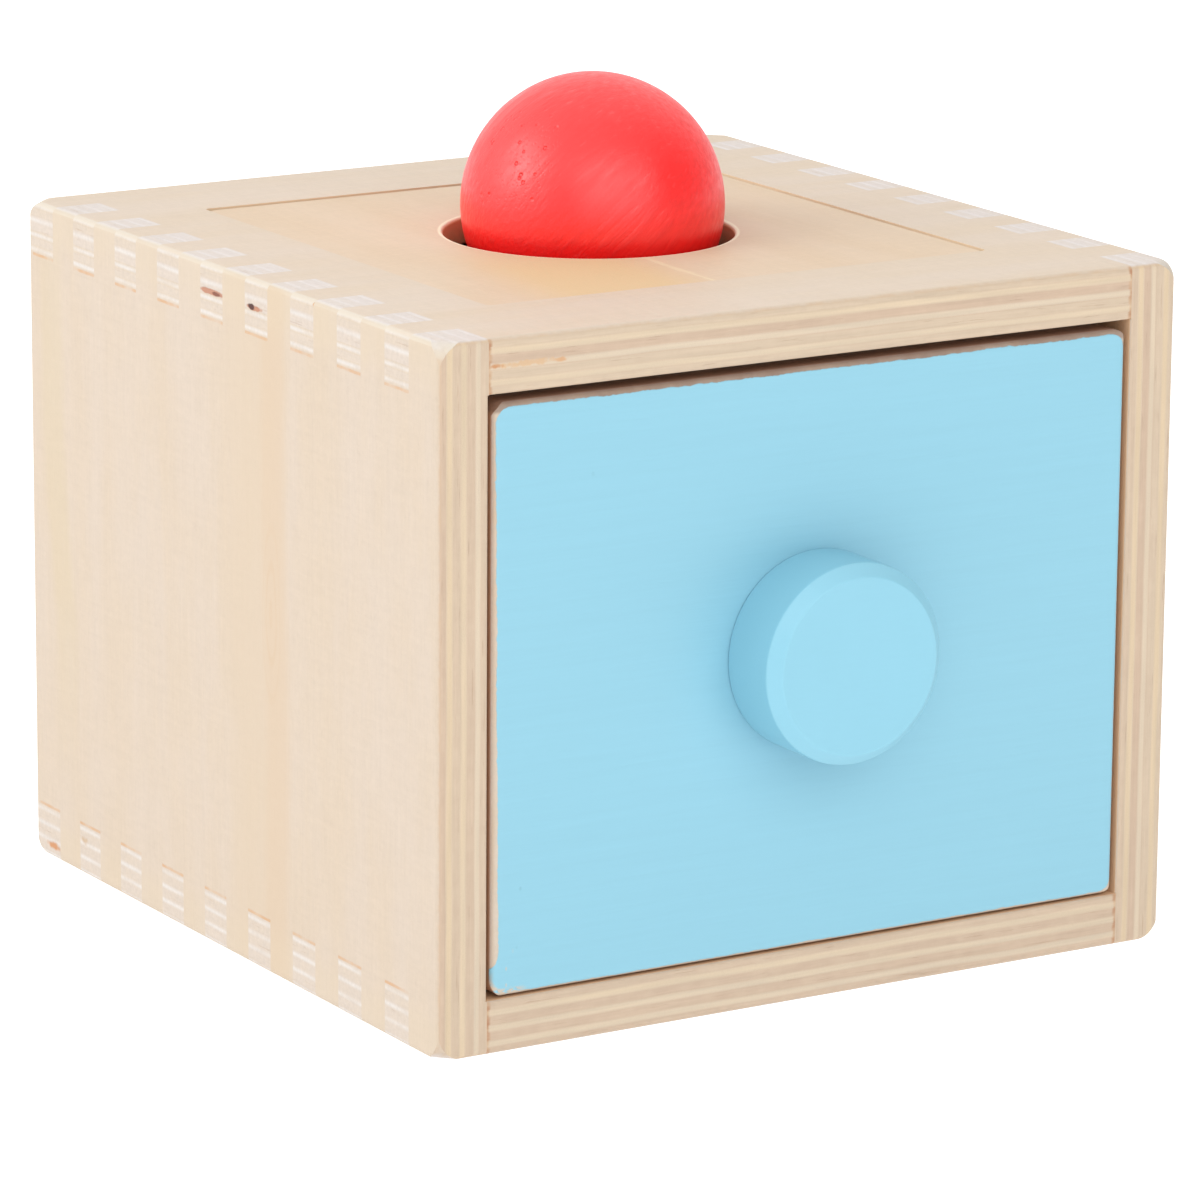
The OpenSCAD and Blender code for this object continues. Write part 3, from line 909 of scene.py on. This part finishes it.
@dataclass
class Case:
    """The finger-jointed box that stands still."""

    ply: float = 9.0
    finger: float = 7.75
    first_finger: float = -62.0
    gap: float = 0.4
    height: float = 117.0
    half_bay: float = 61.5  # half the room between the side panels
    front: float = -71.5

    def side_flaws(self) -> tuple[Flaw, ...]:
        """The marks on a side panel's outer face."""
        top, bottom = self.height - self.ply, self.ply
        return (
            EdgeTint(bottom - 3.0, top + 3.0, tint(217, 199, 172), 0.4),
            # painted shade on the faces inside the bay
            PaintedGapShade(self.half_bay, bottom, top),
            FingerGap((top - 0.25, bottom + 0.25), self.gap, self.first_finger, self.finger),
        )

    def front_joints(self, top: bool) -> tuple[Flaw, ...]:
        """The joint lines at both ends of the top or bottom panel's front edge."""
        low = self.height - self.ply if top else 0.0
        return (JointLine((-self.half_bay, self.half_bay), 0.6, low, low + self.ply),)

    def dress(self) -> None:
        """Gives every panel and brad its finish."""
        # the side, bottom and back panels take darker tones and the top a lighter one: painted shade and
        # painted light that even out how much more the lamps light the sides
        side = VeneerTones(pale=tint(213, 197, 181), warm=tint(212, 193, 170))
        top_tones = VeneerTones(pale=tint(222, 205, 187), warm=tint(220, 200, 175))
        heart = (
            HeartStreak(-12.0, 11.0, tint(213, 193, 168), 0.6, 2.0),
            HeartStreak(-18.0, 4.5, tint(213, 188, 160), 0.45, 2.5),
            HeartStreak(60.0, 4.6, tint(211, 193, 160), 0.45, 8.0, 34.0, 108.0, 24.0),
            Cathedral(-16.5, 62.0, 5.0, 1.3, 4.0, tint(210, 182, 150), 0.3),
        )
        side_x = -self.half_bay - self.ply
        voids = (
            Blemish((side_x, 3.9, 112.3), (2.0, 5.4, 0.62), tint(186, 122, 90), 0.85, 0.25, 0.6),
            # painted shade inside the void's hollow
            Blemish((side_x, 2.2, 112.2), (2.0, 1.8, 0.4), tint(122, 62, 46), 0.8, 0.3),
            Blemish((side_x, -11.0, 112.2), (2.0, 3.0, 0.55), tint(186, 118, 82), 0.85, 0.3),
            # painted shade inside the void's hollow
            Blemish((side_x, -10.0, 112.3), (2.0, 1.3, 0.6), tint(74, 34, 30), 0.95, 0.25),
            Blemish((side_x, -31.5, 116.2), (2.0, 0.9, 0.7), tint(206, 150, 98), 0.8, 0.5),
            Blemish((-55.0, self.front, 112.5), (7.5, 2.0, 0.6), tint(226, 180, 132), 0.6, 0.9, 0.3, 0.0),
            Blemish((-60.4, self.front, 112.5), (1.5, 2.0, 0.6), tint(208, 140, 84), 0.8, 0.6, 0.3, 0.0),
            Blemish((-48.6, self.front, 112.5), (1.8, 2.0, 0.5), tint(222, 160, 104), 0.6, 0.6, 0.3, 0.0),
        )
        knot = (
            Blemish((side_x, 64.6, 2.4), (2.0, 2.8, 0.9), tint(204, 138, 84), 0.9, 0.5, 0.3),
            Blemish((side_x, 52.5, 6.2), (2.0, 1.6, 0.9), tint(196, 160, 116), 0.7, 0.6, 0.2),
        )
        recess = (
            # painted light on the recess walls, against their shade
            PaintedWallLight(49.0, tint(248, 222, 184), 0.9),
            # painted shade on the panel's faces inside the bay
            PaintedGapShade(self.half_bay, 0.0, self.height - self.ply),
        )
        # painted shade on the floor inside the bay
        floor = (PaintedGapShade(self.half_bay, self.ply, self.height),)
        left = Sheet.of("left_side_panel", Axis.X, Axis.Z, True)
        right = Sheet.of("right_side_panel", Axis.X, Axis.Z, False)
        top = Sheet.of("top_panel", Axis.Z, Axis.X, False)
        bottom = Sheet.of("bottom_panel", Axis.Z, Axis.X, True)
        back = Sheet.of("back_panel", Axis.Y, Axis.Z, False, 3)
        finishes = (
            ("left_side_panel", left, side, heart + self.side_flaws(), 1.0),
            ("right_side_panel", right, side, self.side_flaws(), 2.0),
            ("top_panel", top, top_tones, self.front_joints(True) + voids + recess, 3.0),
            ("bottom_panel", bottom, side, self.front_joints(False) + knot + floor, 4.0),
            ("back_panel", back, side, (), 5.0),
        )
        for node, sheet, tones, flaws, seed in finishes:
            dress(node, PlywoodFinish(f"{node}_plywood", sheet, tones, seed, flaws).material())
        dress("back_panel_brads", SteelFinish("back_brad_steel", 1.0).material())


@dataclass
class HolePlate:
    """The square plate that lifts out of the top panel."""

    tones: VeneerTones = VeneerTones(pale=tint(225, 202, 175), warm=tint(221, 195, 163))

    def dress(self) -> None:
        """Gives the plate its finish."""
        sheet = Sheet.of("hole_plate", Axis.Z, Axis.Y, False, 5)
        flaws = (
            # heartwood, and a painted shadow of the ball, in a warm band at the plate's front left
            HeartStreak(-20.0, 16.0, tint(227, 199, 152), 0.85, 3.0, -200.0, -12.0, 16.0),
            HeartStreak(-4.5, 0.6, tint(238, 222, 186), 0.6, 0.5, -200.0, -24.0, 4.0),
            # painted light on the hole's wall, against its shade and the ball's red bounce
            PaintedWallLight(40.0, tint(224, 207, 152), 0.9),
            # painted highlight on the hole's rim
            PaintedRimHighlight(0.5, 25.4, tint(252, 246, 214), 0.8),
        )
        dress("hole_plate", PlywoodFinish("hole_plate_plywood", sheet, self.tones, 6.0, flaws).material())


@dataclass
class TurnedBall:
    """The ball: turned, sanded and stained red."""

    fineness: int = 6
    out_of_round: float = 0.05
    wobble_seed: Point = (7.0, 0.0, 0.0)
    wobbles: float = 1.7  # how many there are in a radius
    parting: float = 2.6  # radius of the small flats where the lathe held it
    lathe_axis: Point = (-0.45, 0.35, 0.82)
    fibre: Point = (0.685, -0.222, 0.680)
    pore: Point = (-0.85, -0.24, 0.47)
    stain: Colour = tint(255, 16, 16, 1.0)
    deep: Colour = tint(236, 0, 0, 1.0)
    worn: Colour = tint(255, 70, 70, 1.0)

    def build(self) -> bpy.types.Object:
        """Makes the ball's mesh.

        Returns:
            The ball, which stands for the frame's own.
        """
        low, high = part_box("ball")
        centre, radius = (low + high) / 2, (high.z - low.z) / 2
        shell = bmesh.new()
        bmesh.ops.create_icosphere(shell, subdivisions=self.fineness, radius=radius)
        axis = Vector(self.lathe_axis).normalized()
        flat = radius - self.parting * self.parting * MM / (2 * radius / MM)
        for corner in shell.verts:
            way = corner.co.normalized()
            wobble = noise.noise(way * self.wobbles + Vector(self.wobble_seed))
            reach = radius - (wobble + 1.0) * 0.5 * self.out_of_round * MM
            tilt = abs(way.dot(axis))
            corner.co = way * min(reach, flat / max(tilt, 0.5))
        mesh = bpy.data.meshes.new("turned_ball")
        shell.to_mesh(mesh)
        shell.free()
        mesh.transform(Matrix.Translation(centre))
        mesh.shade_smooth()
        ball = bpy.data.objects.new("turned_ball", mesh)
        bpy.context.scene.collection.objects.link(ball)
        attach(ball, "ball")
        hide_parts("ball")
        LOG.info("built %s: %d faces", ball.name, len(mesh.polygons))
        return ball

    def dress(self, ball: bpy.types.Object) -> None:
        """Stains the ball."""
        low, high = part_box("ball")
        centre = tuple((low + high) / 2 / MM)
        finish = StainedBallFinish(
            "ball_red_stain", self.stain, self.deep, self.worn, centre, self.fibre, self.pore
        )
        ball.data.materials.append(finish.material())
        LOG.info("dressed %s", ball.name)


@dataclass
class Drawer:
    """The drawer: a painted front with its knob, and the plywood box behind it."""

    paint: Colour = tint(152, 210, 230)
    knob_paint: Colour = tint(150, 212, 233)
    corner: float = 2.6
    bare: tuple[float, float, float] = (0.75, 0.35, 0.45)
    bare_left: tuple[float, float] = (0.45, 1.15)

    def dress(self) -> None:
        """Gives every part of the drawer its finish."""
        low, high = (tuple(corner / MM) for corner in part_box("drawer_front"))
        sheet = Sheet.of("drawer_front", Axis.Y, Axis.X, True)
        board = PlywoodFinish("drawer_front_plywood", sheet, seed=7.0)
        front = PaintedBoardFinish(
            "drawer_front_paint", board, self.paint, low, high, self.corner, self.bare, self.bare_left, 8.0
        )
        dress("drawer_front", front.material())
        dress("knob", PaintFinish("knob_paint", self.knob_paint, 9.0).material())
        walls = (
            ("drawer_left_side", Axis.X, Axis.Y, False, 5),
            ("drawer_right_side", Axis.X, Axis.Y, True, 5),
            ("drawer_back", Axis.Y, Axis.X, True, 5),
            ("drawer_bottom", Axis.Z, Axis.X, False, 3),
        )
        for count, (node, through, grain, first_low, plies) in enumerate(walls):
            sheet = Sheet.of(node, through, grain, first_low, plies)
            dress(node, PlywoodFinish(f"{node}_plywood", sheet, seed=10.0 + count).material())
        dress("drawer_brads", SteelFinish("drawer_brad_steel", 2.0).material())
        dress("knob_screw", SteelFinish("knob_screw_steel", 3.0).material())


@dataclass(frozen=True)
class Softbox:
    """A studio lamp with a rectangular diffuser."""

    name: str
    way: Point  # from the box to the lamp
    distance: float
    width: float
    height: float
    power: float

    def hang(self, target: Vector) -> None:
        """Hangs the lamp so that it points at the target."""
        lamp = bpy.data.lights.new(self.name, "AREA")
        lamp.shape = "RECTANGLE"
        lamp.size, lamp.size_y = self.width, self.height
        lamp.energy = self.power
        holder = bpy.data.objects.new(self.name, lamp)
        way = Vector(self.way).normalized()
        holder.location = target + way * self.distance
        holder.rotation_mode = "QUATERNION"
        holder.rotation_quaternion = way.to_track_quat("Z", "Y")
        bpy.context.scene.collection.objects.link(holder)
        LOG.info("hung %s", self.name)


@dataclass(frozen=True)
class Sky:
    """White studio walls, brighter on the side of the backdrop."""

    toward: Point = (-0.3, 0.8, 0.5)
    dim: float = 0.25
    bright: float = 1.25
    turn: float = 0.6  # how far to each side the change reaches, 1 for the whole way round

    def spread(self) -> None:
        """Surrounds the scene with the sky."""
        world = bpy.data.worlds.new("white_studio")
        world.use_nodes = True
        bench = Bench(world.node_tree)
        rise = bench.toward(bench.way, Vector(self.toward).normalized()).ramp(-self.turn, self.turn)
        background = world.node_tree.nodes["Background"]
        background.inputs["Color"].default_value = (1.0, 1.0, 1.0, 1.0)
        bench.feed(background.inputs["Strength"], rise * (self.bright - self.dim) + self.dim)
        bpy.context.scene.world = world
        LOG.info("spread the sky")


@dataclass
class Studio:
    """The table, the lamps and the camera."""

    azimuth: float = 31.26
    elevation: float = 13.849
    roll: float = 0.421
    stand: Point = (-0.575382, -0.95192, 0.326541)
    lens: float = 200.095
    sensor: float = 36.0
    table_reach: float = 8.0
    table_drop: float = 0.1 * MM  # how far the table lies under the box
    table_tone: float = 0.28
    glow: float = 1.0
    sky: Sky = Sky()
    target: Point = (0.0, 0.0, 0.06)
    lamps: tuple[Softbox, ...] = (
        Softbox("left_softbox", (-0.806, 0.259, 0.532), 0.95, 0.5, 0.5, 2.88),
        Softbox("front_softbox", (-0.15, -0.86, 0.47), 1.1, 1.3, 0.9, 6.88),
    )

    def lay_table(self) -> None:
        """Lays the plain pale table top, lit from below, as product tables are."""
        reach = self.table_reach
        mesh = bpy.data.meshes.new("table")
        corners = [(x * reach, y * reach, 0.0) for x, y in ((-1, -1), (1, -1), (1, 1), (-1, 1))]
        mesh.from_pydata(corners, [], [(0, 1, 2, 3)])
        table = bpy.data.objects.new("table", mesh)
        table.location.z = -self.table_drop
        bpy.context.scene.collection.objects.link(table)
        bench = MaterialBench("table_acrylic")
        soft = bench.noise((0.01, 0.01, 0.01), 1.0, 2.0)
        white = bench.blend(soft, (self.table_tone,) * 3, (0.98 * self.table_tone,) * 3)
        bench.shader.inputs["Emission Color"].default_value = (1.0, 1.0, 1.0, 1.0)
        bench.shader.inputs["Emission Strength"].default_value = self.glow
        mesh.materials.append(bench.finish(white, 0.7, 0.0, 0.2))
        LOG.info("laid the table")

    def set_camera(self) -> None:
        """Sets the camera on its stand."""
        turn, rise, roll = (math.radians(angle) for angle in (self.azimuth, self.elevation, self.roll))
        ahead = Vector((math.sin(turn) * math.cos(rise), math.cos(turn) * math.cos(rise), -math.sin(rise)))
        right = Vector((math.cos(turn), -math.sin(turn), 0.0))
        up = right.cross(ahead)
        rolled_right = right * math.cos(roll) + up * math.sin(roll)
        rolled_up = up * math.cos(roll) - right * math.sin(roll)
        pose = Matrix((rolled_right, rolled_up, -ahead)).transposed().to_4x4()
        pose.translation = Vector(self.stand)
        camera = bpy.data.cameras.new("camera")
        camera.sensor_width = self.sensor
        camera.lens = self.lens
        camera.clip_start, camera.clip_end = 0.01, 50.0
        holder = bpy.data.objects.new("camera", camera)
        holder.matrix_world = pose
        bpy.context.scene.collection.objects.link(holder)
        bpy.context.scene.camera = holder
        LOG.info("set the camera")

    def build(self) -> None:
        """Builds the whole studio."""
        self.set_camera()
        self.sky.spread()
        self.lay_table()
        bpy.context.scene.view_settings.view_transform = "Standard"
        for lamp in self.lamps:
            lamp.hang(Vector(self.target))


def main() -> None:
    """Builds and dresses the box from the outside in."""
    logging.basicConfig(level=logging.INFO, format="%(name)s: %(message)s")
    Studio().build()
    Case().dress()
    HolePlate().dress()
    ball = TurnedBall()
    ball.dress(ball.build())
    Drawer().dress()


if __name__ == "__main__":
    main()
